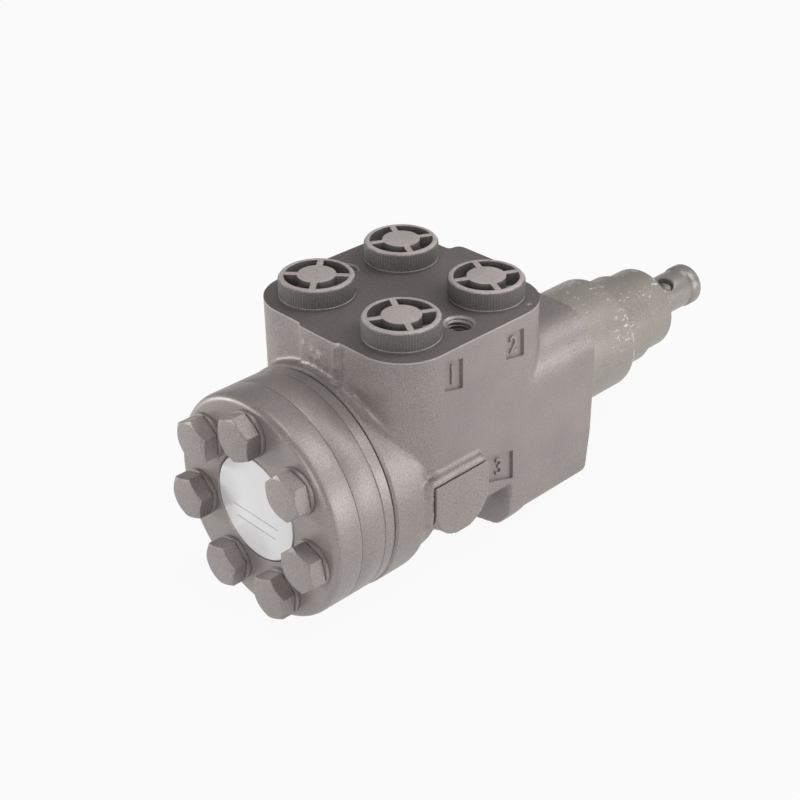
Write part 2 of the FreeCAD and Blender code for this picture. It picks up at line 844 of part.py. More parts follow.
def relief_poppet():
    y = poppet_y
    r = poppet_r
    return turned([(y[0], 0.0), (y[1], r[0]), (y[2], r[1]), (y[3], r[2]), (y[4], r[2]), (y[4], r[3]),
                   (y[5], r[3]), (y[5], 0.0)], 0.0, relief_z)


def relief_spring():
    helix = Part.makeHelix(coil_height / coil_turns, coil_height, coil_r)
    section = Part.Wire(Part.makeCircle(wire_r, V(coil_r, 0, 0), V(0, 1, 0)))
    coil = Part.Wire(helix).makePipeShell([section], True, True)
    coil.rotate(V(0, 0, 0), V(1, 0, 0), -90)
    coil.translate(V(0, coil_y, relief_z))
    return coil


def socket_screw(y0, y1, key, depth):
    """Headless screw with a hexagon socket in its +Y face."""
    c = screw_end_chamfer
    radius = relief_r - screwed
    body = turned([(y0, 0.0), (y0, radius - c), (y0 + c, radius), (y1 - c, radius), (y1, radius - c),
                   (y1, 0.0)], 0.0, relief_z)
    points = [at(key / math.sqrt(3.0), 60.0 * i, y1 - depth) for i in range(6)]
    socket = Part.Face(Part.makePolygon(points + points[:1])).extrude(V(0, depth + overcut, 0))
    socket.translate(V(0, 0, relief_z))
    return body.cut(socket)


def relief_screw():
    return socket_screw(*relief_screw_y, *relief_screw_key)


def relief_plug():
    return socket_screw(relief_plug_y, back_rib_y, *relief_plug_key)


# Port plugs

def port_plug(spot_x, spot_y, turn):
    """Cap with a rim, a middle disc on four spokes and a hollow stub."""
    z0 = port_face_z
    top = z0 + plug_height
    low = z0 - plug_stub
    c = plug_rim_edge
    stub_r = port_r - clearance
    profile = [(0.0, z0 - plug_floor), (plug_hollow_r, z0 - plug_floor), (plug_hollow_r, low),
               (stub_r - c, low), (stub_r, low + c), (stub_r, z0), (plug_r, z0), (plug_r, top - c),
               (plug_r - c, top), (0.0, top)]
    ring = [V(r, 0, z) for r, z in profile]
    cap = Part.Face(Part.makePolygon(ring + ring[:1])).revolve(V(0, 0, 0), V(0, 0, 1), 360)
    well = Part.makeCylinder(plug_rim_r, plug_well + overcut, V(0, 0, top - plug_well))
    floor = top - plug_well - chamfer
    well = well.cut(Part.makeCylinder(plug_disc_r, plug_well + 2 * overcut, V(0, 0, floor)))
    for i in range(2):
        spoke = Part.makeBox(2 * plug_r, plug_spoke, plug_well + 2 * overcut,
                             V(-plug_r, -plug_spoke / 2, floor))
        spoke.rotate(V(0, 0, 0), V(0, 0, 1), 90.0 * i)
        well = well.cut(spoke)
    cap = cap.cut(well)
    cap.rotate(V(0, 0, 0), V(0, 0, 1), turn)
    cap.translate(V(spot_x, spot_y, 0))
    return cap


# Input neck

def neck_housing():
    start = mount_face_y + face_gap
    step_1, step_2 = neck_step_1_y, neck_step_2_y
    outside = [(spigot_y, neck_bore_r), (spigot_y, spigot_r - neck_edge), (spigot_y + neck_edge, spigot_r),
               (start, spigot_r), (start, neck_r_1), (step_1 - neck_step_edge, neck_r_1),
               (step_1, neck_r_1 - neck_step_edge), (step_1, neck_r_2 + neck_fillet),
               (step_1 + neck_fillet, neck_r_2), (step_2, neck_r_2),
               (step_2 + neck_taper[0], neck_r_3 + neck_taper[1]), (step_2 + neck_taper[2], neck_r_3),
               (neck_end_y - neck_end_edge, neck_r_3), (neck_end_y, neck_r_3 - neck_end_edge)]
    mouth = input_r + neck_mouth_gap
    stop = race_y[1] + race_stop
    inside = [(neck_end_y, mouth), (neck_lip_y, mouth), (neck_lip_y, neck_seal_r), (stop, neck_seal_r),
              (stop, race_stop_r), (race_y[1], race_stop_r), (race_y[1], race_r[1]),
              (circlip_y[1] + clearance - spline_gap, race_r[1]),
              (circlip_y[1] + clearance - spline_gap, circlip_groove_r),
              (circlip_y[0] - clearance + spline_gap, circlip_groove_r),
              (circlip_y[0] - clearance + spline_gap, neck_bore_r)]
    return turned(outside + inside)


def input_shaft():
    journal = race_r[0]
    back = race_y[1]
    shaft = turned([(input_start_y, 0.0), (input_start_y, input_nib_r), (input_spline_y[0], tooth_root_r),
                    (input_taper_y[0], tooth_root_r), (input_taper_y[1], input_journal_r),
                    (race_y[0], input_journal_r), (race_y[0], journal), (back + input_relief[0], journal),
                    (back + input_relief[1], input_seal_r), (sleeve_y, input_seal_r), (sleeve_y, nose_r),
                    (nose_y, nose_r), (nose_y, 0.0)])
    return shaft.fuse(spline(*input_spline_y))


def race_groove():
    middle = V(0, (race_y[0] + race_y[1]) / 2, 0)
    return Part.makeTorus(ball_circle_r, ball_r + race_groove_gap, middle, V(0, 1, 0))


def bearing_inner():
    return collar(*race_y, race_r[0], race_shoulder_r[0]).cut(race_groove())


def bearing_outer():
    return collar(*race_y, race_shoulder_r[1], race_r[1]).cut(race_groove())


def bearing_balls():
    middle = (race_y[0] + race_y[1]) / 2
    spots = [at(ball_circle_r, 360.0 / ball_count * i, middle) for i in range(ball_count)]
    return [Part.makeSphere(ball_r, spot) for spot in spots]


def bearing_cage():
    middle = (race_y[0] + race_y[1]) / 2
    inner, outer = ball_cage_r
    cage = collar(middle - ball_cage_half, middle + ball_cage_half, inner, outer)
    return cage.cut(hole_row(middle, ball_count, ball_r + ball_cage_gap, inner - overcut, outer + overcut))


def bearing_circlip():
    y0, y1 = circlip_y
    eye_r, eye_x, eye_z = circlip_eye
    clip = collar(y0, y1, *circlip_r)
    gap = Part.makeBox(circlip_gap, y1 - y0 + 2 * overcut, circlip_r[1],
                       V(-circlip_gap / 2, y0 - overcut, circlip_r[0] - eye_x + overcut))
    eyes = [rod(eye_r, y0, y1, sx * eye_x, eye_z) for sx in (-1, 1)]
    holes = [rod(circlip_eye_hole_r, y0 - overcut, y1 + overcut, sx * eye_x, eye_z) for sx in (-1, 1)]
    return clip.fuse(eyes).cut([gap] + holes)


def neck_seal():
    y0, y1 = neck_seal_y
    first, second = neck_seal_lips
    return turned([(y0, neck_seal_throat_r[0]), (y0 + first[0], first[1]),
                   (y0 + neck_seal_lip_y, input_seal_r + running), (y0 + second[0], second[1]),
                   (y1, neck_seal_throat_r[1]), (y1, neck_seal_r), (y0, neck_seal_r)])


def coupling_sleeve():
    """Hollow end of the input with a cross hole and a turned collar."""
    r = input_r
    c = input_collar_r
    end = input_end_y
    root = end - collar_length
    tube = turned([(sleeve_y, nose_r), (hollow_y, nose_r), (hollow_y, hollow_r), (end, hollow_r),
                   (end, c - collar_edge[1]), (end - collar_edge[0], c - 2 * clearance),
                   (end - collar_edge[1], c), (root, c), (root - collar_groove[0], r + collar_groove_r[0]),
                   (root - collar_groove[1], r - collar_groove_r[1]), (root - collar_groove[2], r),
                   (sleeve_y, r)])
    reach = 2 * input_r
    return tube.cut(drill(cross_hole_r, at(-reach, cross_hole_deg, cross_hole_y),
                          at(reach, cross_hole_deg, cross_hole_y)))


parts = {
    "housing": housing,
    "distributor_plate": distributor_plate,
    "gear_ring": gear_ring,
    "gear_rotor": gear_rotor,
    "end_cover": end_cover,
    "cover_screws": cover_screws,
    "cover_washers": cover_washers,
    "name_plate": name_plate,
    "seal_rings": seal_rings,
    "spool": spool,
    "valve_sleeve": valve_sleeve,
    "cross_pin": cross_pin,
    "centring_springs": centring_springs,
    "spring_ring": spring_ring,
    "thrust_race_inner": thrust_race_inner,
    "thrust_race_outer": thrust_race_outer,
    "thrust_cage": thrust_cage,
    "thrust_needles": thrust_needles,
    "shaft_seal": shaft_seal,
    "dust_seal": dust_seal,
    "cardan_shaft": cardan_shaft,
    "cardan_spacer": cardan_spacer,
    "check_ball": lambda: valve_ball(check_at),
    "check_bush": check_bush,
    "suction_ball_r": lambda: valve_ball(suction_at["r"]),
    "suction_ball_l": lambda: valve_ball(suction_at["l"]),
    "suction_pins": suction_pins,
    "relief_seat": relief_seat,
    "relief_poppet": relief_poppet,
    "relief_spring": relief_spring,
    "relief_screw": relief_screw,
    "relief_plug": relief_plug,
    "port_plug_p": lambda: port_plug(-port_x, port_y[0], plug_turns["p"]),
    "port_plug_t": lambda: port_plug(-port_x, port_y[1], plug_turns["t"]),
    "port_plug_l": lambda: port_plug(port_x, port_y[1], plug_turns["l"]),
    "port_plug_r": lambda: port_plug(port_x, port_y[0], plug_turns["r"]),
    "neck_housing": neck_housing,
    "input_shaft": input_shaft,
    "bearing_inner": bearing_inner,
    "bearing_outer": bearing_outer,
    "bearing_balls": bearing_balls,
    "bearing_cage": bearing_cage,
    "bearing_circlip": bearing_circlip,
    "neck_seal": neck_seal,
    "coupling_sleeve": coupling_sleeve,
}

os.makedirs("parts", exist_ok=True)
for name, make in parts.items():
    made = make()
    shape = Part.makeCompound(made) if isinstance(made, list) else made
    shape.translate(V(0, -mount_face_y, 0))
    shape.exportStep("parts/" + name + ".step")
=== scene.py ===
import json
import math
import random

import bmesh
import bpy
from mathutils import Matrix, Vector

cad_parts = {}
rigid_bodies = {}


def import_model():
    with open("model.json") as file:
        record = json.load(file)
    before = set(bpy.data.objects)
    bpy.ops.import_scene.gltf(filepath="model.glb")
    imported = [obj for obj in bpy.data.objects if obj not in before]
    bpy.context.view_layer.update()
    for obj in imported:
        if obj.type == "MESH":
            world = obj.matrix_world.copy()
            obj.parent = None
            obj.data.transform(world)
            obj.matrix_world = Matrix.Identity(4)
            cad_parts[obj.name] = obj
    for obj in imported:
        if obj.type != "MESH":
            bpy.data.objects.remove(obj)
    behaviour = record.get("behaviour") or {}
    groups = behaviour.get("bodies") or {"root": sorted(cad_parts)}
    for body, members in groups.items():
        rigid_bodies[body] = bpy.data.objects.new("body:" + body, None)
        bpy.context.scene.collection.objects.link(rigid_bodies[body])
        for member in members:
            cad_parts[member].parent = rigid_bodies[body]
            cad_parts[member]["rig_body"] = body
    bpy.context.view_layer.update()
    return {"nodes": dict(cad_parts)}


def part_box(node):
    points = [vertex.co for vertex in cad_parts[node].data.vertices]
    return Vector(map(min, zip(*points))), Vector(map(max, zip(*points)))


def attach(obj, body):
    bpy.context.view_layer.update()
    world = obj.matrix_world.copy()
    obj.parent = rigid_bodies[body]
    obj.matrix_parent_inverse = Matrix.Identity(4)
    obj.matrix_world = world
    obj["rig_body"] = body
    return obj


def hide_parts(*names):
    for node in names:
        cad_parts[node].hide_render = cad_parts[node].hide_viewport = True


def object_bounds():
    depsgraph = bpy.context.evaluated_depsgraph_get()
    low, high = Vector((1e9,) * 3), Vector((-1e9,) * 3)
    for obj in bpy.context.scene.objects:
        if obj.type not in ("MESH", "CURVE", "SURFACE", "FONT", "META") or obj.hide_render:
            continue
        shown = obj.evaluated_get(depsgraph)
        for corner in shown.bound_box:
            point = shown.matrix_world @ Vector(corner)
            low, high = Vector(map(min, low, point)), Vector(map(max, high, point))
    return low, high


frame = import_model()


# Cast housing. A grey iron sand casting, sprayed with a metallic grey primer over bare iron.
# The port face, the gear set's face and the mounting face are milled and the holes drilled
# after casting, so their edges are crisp, and all others are as soft as the mould left them.

mm = 0.001
across, along, up = 0, 1, 2


def reach(node):
    """Lowest and highest corner of a node, in millimetres."""
    low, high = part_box(node)
    return low / mm, high / mm


def turned(bm, profile, centre=(0, 0, 0), way=(0, 1, 0), steps=96, closed=False):
    """Spins (distance, radius) points about the line through centre that runs along way."""
    before = set(bm.verts)
    points = [bm.verts.new((radius, 0, distance)) for distance, radius in profile]
    follow = points[1:] + points[:1] if closed else points[1:]
    line = points + [bm.edges.new(pair) for pair in zip(points, follow)]
    bmesh.ops.spin(bm, geom=line, cent=(0, 0, 0), axis=(0, 0, 1), angle=2 * math.pi, steps=steps,
                   use_merge=True)
    new = [v for v in bm.verts if v not in before]
    bmesh.ops.remove_doubles(bm, verts=new, dist=1e-4)
    new = [v for v in bm.verts if v not in before]
    tilt = Vector(way).to_track_quat("Z", "X").to_matrix().to_4x4()
    bmesh.ops.transform(bm, matrix=Matrix.Translation(centre) @ tilt, verts=new)
    return new


def both_sides(right):
    """Outline that is alike left and right, from the (u, v, corner radius) points on its right."""
    return right + [(-u, v, radius) for u, v, radius in reversed(right)]


def bar(bm, corners, way, start, end, segments=10):
    """Bar along one axis whose outline is (u, v, corner radius) points in the other two."""
    places = {
        across: lambda u, v: (start, u, v),
        along: lambda u, v: (u, start, v),
        up: lambda u, v: (u, v, start),
    }
    before = set(bm.verts)
    points = [bm.verts.new(places[way](u, v)) for u, v, radius in corners]
    lid = bmesh.ops.extrude_face_region(bm, geom=[bm.faces.new(points)])["geom"]
    shift = Vector((0, 0, 0))
    shift[way] = end - start
    bmesh.ops.translate(bm, vec=shift, verts=[g for g in lid if isinstance(g, bmesh.types.BMVert)])
    long_edges = []
    for point in points:
        long_edges += [e for e in point.link_edges if abs((e.other_vert(point).co - point.co)[way]) > 1e-6]
    for i, (u, v, radius) in enumerate(corners):
        here = Vector((u, v))
        one = Vector(corners[i - 1][:2]) - here
        two = Vector(corners[(i + 1) % len(corners)][:2]) - here
        if radius > 0:
            bmesh.ops.bevel(bm, geom=[long_edges[i]], offset=radius / math.tan(one.angle(two) / 2),
                            affect="EDGES", segments=segments, profile=0.5, material=-1, clamp_overlap=False)
    return [v for v in bm.verts if v not in before]


def settled(bm, steps, cutter=None):
    """The mesh that a list of (modifier, settings) makes of bm; a cutter is cut away from it."""
    pieces = []
    for rough in (bm, cutter):
        if rough is not None:
            bmesh.ops.recalc_face_normals(rough, faces=rough.faces)
            mesh = bpy.data.meshes.new("rough")
            rough.to_mesh(mesh)
            rough.free()
            pieces.append(bpy.data.objects.new("rough", mesh))
            bpy.context.scene.collection.objects.link(pieces[-1])
    if cutter is not None:
        steps = [("BOOLEAN", {"operation": "DIFFERENCE", "solver": "EXACT", "object": pieces[1]})] + steps
    for kind, settings in steps:
        modifier = pieces[0].modifiers.new(kind, kind)
        for key, value in settings.items():
            setattr(modifier, key, value)
    depsgraph = bpy.context.evaluated_depsgraph_get()
    mesh = bpy.data.meshes.new_from_object(pieces[0].evaluated_get(depsgraph), depsgraph=depsgraph)
    for piece in pieces:
        bpy.data.objects.remove(piece)
    made = bmesh.new()
    made.from_mesh(mesh)
    bpy.data.meshes.remove(mesh)
    return made


def finished(name, bm, node, material, stands_for=True, sharp=32):
    """Gives the finished piece of a bmesh in millimetres, riding on a node's body."""
    bmesh.ops.scale(bm, vec=(mm, mm, mm), verts=bm.verts)
    bmesh.ops.recalc_face_normals(bm, faces=bm.faces)
    for face in bm.faces:
        face.smooth = True
    mesh = bpy.data.meshes.new(name)
    bm.to_mesh(mesh)
    bm.free()
    mesh.set_sharp_from_angle(angle=math.radians(sharp))
    mesh.materials.append(material)
    piece = bpy.data.objects.new(name, mesh)
    bpy.context.scene.collection.objects.link(piece)
    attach(piece, frame["nodes"][node]["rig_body"])
    if stands_for:
        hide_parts(node)
    return piece


def finish_nodes(name, metallic=0.0, rough=0.5):
    """New material, with its node tree and its shader."""
    material = bpy.data.materials.new(name)
    material.use_nodes = True
    tree = material.node_tree
    shader = tree.nodes["Principled BSDF"]
    shader.inputs["Metallic"].default_value = metallic
    shader.inputs["Roughness"].default_value = rough
    return material, tree, shader


def grain(tree, scale, detail=2.0, stretch=(1, 1, 1)):
    """Noise that sits in the piece; scale is grains in a metre."""
    node = tree.nodes.new("ShaderNodeTexNoise")
    node.inputs["Scale"].default_value = scale
    node.inputs["Detail"].default_value = detail
    mapping = tree.nodes.new("ShaderNodeMapping")
    mapping.inputs["Scale"].default_value = stretch
    tree.links.new(tree.nodes.new("ShaderNodeTexCoord").outputs["Object"], mapping.inputs["Vector"])
    tree.links.new(mapping.outputs["Vector"], node.inputs["Vector"])
    return node.outputs["Fac"]


def shades(tree, factor, start, end, dark, pale):
    """Colour that goes from dark to pale while the factor goes from start to end."""
    node = tree.nodes.new("ShaderNodeValToRGB")
    for element, spot, colour in zip(node.color_ramp.elements, (start, end), (dark, pale)):
        element.position = spot
        element.color = tuple(colour) + (1.0,)
    tree.links.new(factor, node.inputs["Fac"])
    return node.outputs["Color"]


def coloured(tree, kind, factor, one, two):
    """One colour over or times another."""
    node = tree.nodes.new("ShaderNodeMix")
    node.data_type = "RGBA"
    node.blend_type = kind
    for socket, value in (("Factor", factor), ("A", one), ("B", two)):
        if isinstance(value, bpy.types.NodeSocket):
            tree.links.new(value, node.inputs[socket])
        elif isinstance(value, float):
            node.inputs[0].default_value = value
        else:
            node.inputs[6 if socket == "A" else 7].default_value = tuple(value) + (1.0,)
    return node.outputs[2]


def rough_from(tree, shader, factor, low, high):
    """Roughness that goes from low to high with a factor."""
    node = tree.nodes.new("ShaderNodeMapRange")
    node.inputs["To Min"].default_value = low
    node.inputs["To Max"].default_value = high
    tree.links.new(factor, node.inputs["Value"])
    tree.links.new(node.outputs["Result"], shader.inputs["Roughness"])


def bumped(tree, shader, *layers):
    """Adds bumps, each a factor and its height in millimetres."""
    normal = None
    for factor, height in layers:
        node = tree.nodes.new("ShaderNodeBump")
        node.inputs["Distance"].default_value = height * mm
        tree.links.new(factor, node.inputs["Height"])
        if normal is not None:
            tree.links.new(normal, node.inputs["Normal"])
        normal = node.outputs["Normal"]
    tree.links.new(normal, shader.inputs["Normal"])


def paint_colour(tree, colour):
    """Metallic grey primer: slow changes of tone under fine bright grains."""
    dark, pale = [c * 0.93 for c in colour], [c * 1.07 for c in colour]
    tone = shades(tree, grain(tree, 38.0, 3.0), 0.35, 0.65, dark, pale)
    grains = shades(tree, grain(tree, 2600.0, 1.0), 0.36, 0.66, (0.82, 0.82, 0.82), (1.2, 1.19, 1.17))
    return coloured(tree, "MULTIPLY", 1.0, tone, grains)


def between(tree, axis, start, end):
    """Goes from 0 to 1 between two places along one axis of the piece, in millimetres."""
    where = tree.nodes.new("ShaderNodeSeparateXYZ")
    tree.links.new(tree.nodes.new("ShaderNodeTexCoord").outputs["Object"], where.inputs["Vector"])
    node = tree.nodes.new("ShaderNodeMapRange")
    node.inputs["From Min"].default_value = start * mm
    node.inputs["From Max"].default_value = end * mm
    tree.links.new(where.outputs[axis], node.inputs["Value"])
    return node.outputs["Result"]


def both(tree, one, two, kind="MULTIPLY"):
    """One factor times, or joined in another way to, a second factor or number."""
    node = tree.nodes.new("ShaderNodeMath")
    node.operation = kind
    tree.links.new(one, node.inputs[0])
    if isinstance(two, float):
        node.inputs[1].default_value = two
    else:
        tree.links.new(two, node.inputs[1])
    return node.outputs["Value"]


def sprayed(name, colour, grit, lumps, metallic=0.35, rough=0.44, milled_at=None):
    """Primer; at the milled height the face is darkened as painted shade, and just below its rim a band is paled
    as a painted highlight.
    """
    material, tree, shader = finish_nodes(name, metallic, rough)
    coat = paint_colour(tree, colour)
    if milled_at is not None:
        # Painted highlight: the pale band just below the milled rim. Painted shade: the darker colour of the
        # milled face itself.
        painted_rim_highlight = between(tree, "Z", milled_at - 0.85, milled_at - 0.55)
        painted_face_shade = between(tree, "Z", milled_at - 0.06, milled_at - 0.02)
        coat = coloured(tree, "MIX", painted_rim_highlight, coat, paint_colour(tree, [c * 1.45 for c in colour]))
        coat = coloured(tree, "MIX", painted_face_shade, coat, paint_colour(tree, [c * 0.68 for c in colour]))
    tree.links.new(coat, shader.inputs["Base Color"])
    rough_from(tree, shader, grain(tree, 900.0), rough - 0.06, rough + 0.08)
    bumped(tree, shader, (grain(tree, 1500.0), grit), (grain(tree, 420.0), lumps))
    return material


def on_circle(a, r):
    """Point at an angle in degrees on a circle round the shaft, as (x, z)."""
    return r * math.cos(math.radians(a)), r * math.sin(math.radians(a))


housing_low, housing_high = reach("housing")
port_face = housing_high.z
mount_face = housing_high.y
front_face = housing_low.y
boss_face = housing_high.x
ports_y = front_face + 45.7
half_side = 42.3
block_front = ports_y - 40.8
block_back = ports_y + 40.2
disc_r = 44.4
disc_back = ports_y - 31.5
belly_r = 41.3
allowance = 1.6
voxel = 0.85
primer = (0.325, 0.290, 0.280)
# On the housing this primer paints shade onto the port face and a highlight onto the band just below its rim.
cast_paint = sprayed("cast_primer", primer, grit=0.06, lumps=0.16, milled_at=port_face)

lump = bmesh.new()
top = port_face + allowance
bar(lump, both_sides([(half_side, block_front, 18.5), (half_side, block_back, 18.5)]), up, -4.0, top)
bar(lump, both_sides([(14.8, ports_y, 0), (14.8, ports_y + 45.4, 3.0)]), up, 20.0, top)
bar(lump, [(-9.3, ports_y - 42.3, 1.2), (10.4, ports_y - 42.3, 1.2), (10.4, ports_y - 30.0, 0),
           (-9.3, ports_y - 30.0, 0)], up, 20.0, top)
tail = [(half_side, 42.2, 17.0), (half_side, -8.0, 0), (40.9, -28.2, 6.0), (26.6, -40.0, 6.0)]
tail_start = [(half_side, 30.0, 0), (half_side, -8.0, 0), (40.9, -28.2, 6.0), (35.0, -35.6, 6.0),
              (24.0, -37.8, 3.0)]
bar(lump, both_sides(tail), along, ports_y + 24.0, mount_face + allowance)
bar(lump, both_sides(tail_start), along, ports_y + 16.8, ports_y + 26.0)
belly = [(36.5 * math.cos(math.radians(a)), 41.8 * math.sin(math.radians(a)), 0) for a in range(-28, -153, -8)]
for lip, start in ((9.0, ports_y - 22.3), (12.5, ports_y - 2.0)):
    right = [(half_side, 30.0, 0), (half_side, -lip, 2.2), (35.5, -lip - 3.0, 2.5)]
    left = [(-u, v, radius) for u, v, radius in reversed(right)]
    bar(lump, right + belly + left, along, start, ports_y + 20.0, 4)
turned(lump, [(ports_y - 34.0, 0), (ports_y - 34.0, belly_r), (ports_y - 20.0, belly_r), (ports_y - 20.0, 0)])
turned(lump, [(front_face - allowance, 0), (front_face - allowance, disc_r), (disc_back, disc_r),
              (disc_back + 1.6, disc_r - 0.4), (disc_back + 5.0, 41.6), (disc_back + 8.0, 40.8),
              (disc_back + 8.0, 0)], steps=144)
for step, low, face in ((1.6, 0.5, boss_face - 4.0), (0.0, 0.9, boss_face)):
    front, back = ports_y - 27.6 - step, ports_y - 0.8 + low
    ceiling, floor = 8.2 + step, -15.8 - low
    bar(lump, [(front, ceiling, 1.0), (back, ceiling, 2.0), (back, floor, 13.2), (front, floor, 13.2)],
        across, 25.0, face)

chance = random.Random(7)


def cast_bead(bm, path, radius, unevenness):
    """Row of overlapping balls along a line, as rough as metal that ran into a seam of the mould."""
    for start, end in zip(path, path[1:]):
        start, end = Vector(start), Vector(end)
        count = max(1, round((end - start).length / (radius * 0.7)))
        for i in range(count):
            ball = radius * (1 + unevenness * chance.uniform(-1, 1))
            wander = [radius * unevenness * chance.uniform(-0.4, 0.4) for k in range(3)]
            place = Matrix.Translation(start.lerp(end, i / count) + Vector(wander))
            bmesh.ops.create_icosphere(bm, subdivisions=2, radius=ball, matrix=place)


def on_disc(a, y, r):
    """Point on the front disc at an angle, y behind the ports' middle."""
    x, z = on_circle(a, r)
    return x, ports_y + y, z


disc_bend = ((56, -41.6), (50, -41.0), (44, -39.6), (38, -37.4), (32, -35.0), (26, -33.2))
ledge = [(44.2, ports_y - 28.8, 9.7), (44.2, ports_y - 15.0, 9.8), (44.2, ports_y - 2.0, 9.6)]
cast_bead(lump, [on_disc(a, -41.6, 43.9) for a in range(96, 52, -4)], 1.15, 0.3)
cast_bead(lump, [on_disc(a, y, 43.8) for a, y in disc_bend], 1.0, 0.3)
cast_bead(lump, [on_disc(a, -43.6, 43.75) for a in range(96, 40, -4)], 0.8, 0.35)
cast_bead(lump, [(10.0, ports_y - 41.9, z) for z in (45.5, 50.0, 54.5, 58.0)], 0.9, 0.35)
cast_bead(lump, ledge, 1.75, 0.08)
cast_bead(lump, [(44.0, ports_y - 29.5, 9.0), (43.9, ports_y - 29.5, -9.0)], 1.45, 0.1)
for x, z in ((-4.6, 50.5), (-0.6, 50.2), (3.4, 49.6)):
    cast_bead(lump, [(x - 1.6, ports_y - 42.2, z + 2.2), (x + 1.9, ports_y - 42.2, z - 2.6)], 0.85, 0.2)

casting = settled(lump, [
    ("REMESH", {"mode": "VOXEL", "voxel_size": voxel, "adaptivity": 0.0}),
    ("SMOOTH", {"factor": 0.5, "iterations": 3}),
])


def milled(bm, level, way):
    """Mills away what lies past a plane and closes the cut."""
    cut = bmesh.ops.bisect_plane(bm, geom=bm.verts[:] + bm.edges[:] + bm.faces[:], plane_co=level,
                                 plane_no=way, clear_outer=True, dist=1e-4)
    rim = [g for g in cut["geom_cut"] if isinstance(g, bmesh.types.BMEdge)]
    bmesh.ops.edgeloop_fill(bm, edges=rim)


milled(casting, (0, 0, port_face), (0, 0, 1))
milled(casting, (0, front_face, 0), (0, -1, 0))
milled(casting, (0, mount_face, 0), (0, 1, 0))

bore_r, hub_r, spigot_r, neck_r = 19.05, 13.05, 24.45, 24.85
port_r, port_depth = 11.1, 15.0
m10_r, m10_x, m10_y = 5.02, 30.5, ports_y - 0.9
bolt_out = 82.5 / 2 * math.sqrt(0.5)
screw_circle, screw_hole = 32.13, 5.3
screw_spots = [on_circle(90 + 360 / 7 * i, screw_circle) for i in range(7)]
tapped = [((sx * m10_x, m10_y, port_face), (0, 0, 1), 20.0) for sx in (-1, 1)]
tapped += [((sx * bolt_out, mount_face, sz * bolt_out), (0, 1, 0), 18.0)
           for sx in (-1, 1) for sz in (-1, 1)]
plugs = {key: sum(reach("port_plug_" + key), Vector()) / 2 for key in "ptlr"}

drilled = bmesh.new()
turned(drilled, [(front_face - 2, 0), (front_face - 2, bore_r), (ports_y + 44.3, bore_r),
                 (ports_y + 44.3, hub_r), (ports_y + 48, hub_r), (ports_y + 48, 17.0), (ports_y + 52, 17.0),
                 (ports_y + 52, hub_r), (ports_y + 53, hub_r), (ports_y + 53, 18.5), (ports_y + 56.5, 18.5),
                 (ports_y + 56.5, spigot_r), (mount_face - 1, spigot_r), (mount_face - 1, neck_r),
                 (mount_face + 2, neck_r), (mount_face + 2, 0)])
turned(drilled, [(front_face - 1, disc_r - 1.9), (front_face + 0.9, disc_r), (front_face + 0.9, disc_r + 2),
                 (front_face - 1, disc_r + 2)], steps=144, closed=True)
for spot in plugs.values():
    turned(drilled, [(-port_depth, 0), (-port_depth, port_r), (-1.0, port_r), (0, port_r + 0.9),
                     (1, port_r + 0.9), (1, 0)], (spot.x, spot.y, port_face), (0, 0, 1))
for mouth, way, depth in tapped:
    turned(drilled, [(-depth - 2.5, 0), (-depth, m10_r), (-0.8, m10_r), (0, m10_r + 0.85),
                     (1, m10_r + 0.85), (1, 0)], mouth, way, steps=48)
for x, z in screw_spots:
    turned(drilled, [(-13, 0), (-13, screw_hole), (1, screw_hole), (1, 0)], (x, front_face, z), (0, -1, 0),
           steps=32)
turned(drilled, [(-37, 0), (-37, 6.5), (2, 6.5), (2, 0)], (0, ports_y + 45.4, 50.0), (0, 1, 0), steps=48)
turned(drilled, [(-0.9, 0), (-0.4, 1.0), (1, 1.2), (1, 0)], (38.4, ports_y + 27.7, port_face), (0, 0, 1),
       steps=24)

boss_groove = [(-28.4, -10.5), (-27.6, -10.5), (-27.6, 8.15), (-0.6, 8.15), (-0.6, 9.0), (-28.4, 9.0)]
groove_depth = 4.2
bar(drilled, [(ports_y + y, z, 0) for y, z in boss_groove], across, boss_face - groove_depth, boss_face + 1)

frames = {
    "1": [(-20.1, 55.9), (-11.2, 53.9), (-11.0, 41.7), (-20.1, 43.8)],
    "2": [(10.8, 54.9), (20.4, 53.7), (21.0, 42.3), (11.2, 44.1)],
    "3": [(2.3, 6.4), (16.7, 2.9), (17.2, -10.0), (2.7, -5.3)],
}
frame_depth = 1.1
for corners in frames.values():
    outline = [(ports_y + y, z, 0.5) for y, z in corners]
    bar(drilled, outline, across, half_side - frame_depth, half_side + 1.5, 3)

housing = settled(casting, [], drilled)
finished("housing_casting", housing, "housing", cast_paint)


# Threads of the casting. Cut with taps in the four ports, the two bracket holes in the port
# face and the four mounting holes; the primer reaches only their first turns.


def thread(bm, wall, crest, pitch, start, end, centre, way, steps=32):
    """Ridge that winds along a hole or a bolt; distances run from centre along way."""
    before = set(bm.verts)
    lean = 0.12 * (1 if wall > crest else -1)
    outline = [(wall + lean, 0.0), (wall + lean, pitch), (crest, pitch * 0.56), (crest, pitch * 0.44)]
    points = [bm.verts.new((radius, 0, start + rise)) for radius, rise in outline]
    face = bm.faces.new(points)
    turns = (end - start) / pitch - 1
    count = int(turns * steps)
    bmesh.ops.spin(bm, geom=points + list(face.edges) + [face], cent=(0, 0, 0), axis=(0, 0, 1),
                   angle=count / steps * 2 * math.pi, steps=count, dvec=(0, 0, pitch / steps))
    new = [v for v in bm.verts if v not in before]
    tilt = Vector(way).to_track_quat("Z", "X").to_matrix().to_4x4()
    bmesh.ops.transform(bm, matrix=Matrix.Translation(centre) @ tilt, verts=new)


